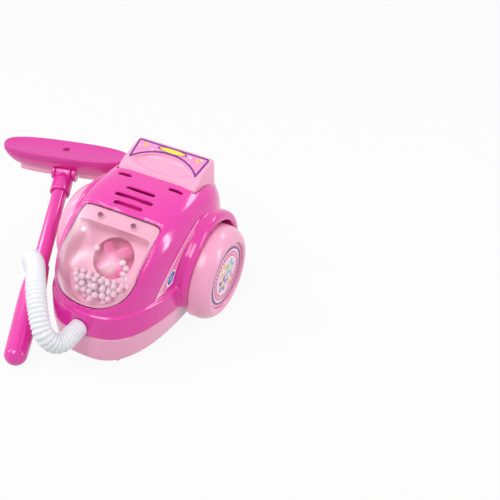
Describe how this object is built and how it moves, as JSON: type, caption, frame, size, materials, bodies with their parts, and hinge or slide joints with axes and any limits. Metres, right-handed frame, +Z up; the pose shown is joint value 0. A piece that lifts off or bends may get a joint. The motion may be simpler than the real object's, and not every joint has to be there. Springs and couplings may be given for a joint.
{
  "type": "toy vacuum cleaner",
  "caption": "Toy canister vacuum cleaner: domed hood, clear bead window with a fan, large spinning wheels, ribbed hose and a wand with a tilting floor nozzle.",
  "frame": {"origin": "point on the floor under the middle of the wheel axle", "axes": "+X to the right seen from the nose side's viewer, along the axle; nose towards -Y; +Z up from the floor"},
  "size_m": [0.2162, 0.1922, 0.108],
  "materials": {
    "hot_pink": "glossy",
    "pale_pink": "glossy",
    "clear_cover": "clear",
    "white_hose": "satin",
    "white_foam": "matte",
    "steel": "satin",
    "label": "printed film",
    "cell_jacket": "satin",
    "dark_plastic": "matte"
  },
  "bodies": {
    "body": {"upper_shell": "hot_pink", "base_pan": "pale_pink", "tail_block": "pale_pink", "window_cover": "clear_cover", "window_screws": "steel", "bead_tray": "pale_pink", "fan_shroud": "hot_pink", "motor": "steel", "foam_beads": "white_foam", "axle": "steel", "axle_clips": "steel", "battery_door": "pale_pink", "door_screw": "steel", "batteries": "cell_jacket", "battery_contacts": "steel", "switch_body": "dark_plastic", "case_screws": "steel", "hose_spigot": "hot_pink", "hose": "white_hose", "tail_label": "label"},
    "left_wheel": {"left_wheel": "pale_pink", "left_hub_cap": "pale_pink", "left_hub_label": "label"},
    "right_wheel": {"right_wheel": "pale_pink", "right_hub_cap": "pale_pink", "right_hub_label": "label"},
    "fan": {"fan": "hot_pink", "motor_shaft": "steel"},
    "switch": {"switch_knob": "hot_pink"},
    "wand": {"wand_grip": "hot_pink", "wand_tube": "hot_pink", "nozzle_collar": "hot_pink"},
    "nozzle": {"nozzle_head": "hot_pink", "nozzle_sole": "hot_pink", "nozzle_screw": "steel", "nozzle_pads": "pale_pink", "nozzle_pin": "steel"}
  },
  "joints": [
    {"name": "left_wheel_spin", "type": "hinge", "parent": "body", "child": "left_wheel", "pos_m": [-0.0575, 0, 0.0365], "axis": [1, 0, 0], "continuous": true},
    {"name": "right_wheel_spin", "type": "hinge", "parent": "body", "child": "right_wheel", "pos_m": [0.0575, 0, 0.0365], "axis": [1, 0, 0], "continuous": true},
    {"name": "fan_spin", "type": "hinge", "parent": "body", "child": "fan", "pos_m": [0, -0.05211, 0.06278], "axis": [0, -0.6239, 0.7815], "continuous": true},
    {"name": "switch_slide", "type": "slide", "parent": "body", "child": "switch", "axis": [0, 1, 0], "range_m": [0, 0.004]},
    {"name": "wand_lift", "type": "slide", "parent": "body", "child": "wand", "axis": [-1, 0, 0], "range_m": [0, 0.03], "deforming": ["hose"]},
    {"name": "nozzle_tilt", "type": "hinge", "parent": "wand", "child": "nozzle", "pos_m": [-0.09848, 0.03051, 0.05573], "axis": [0.9583, 0.2857, 0], "range_deg": [-18, 18]}
  ]
}
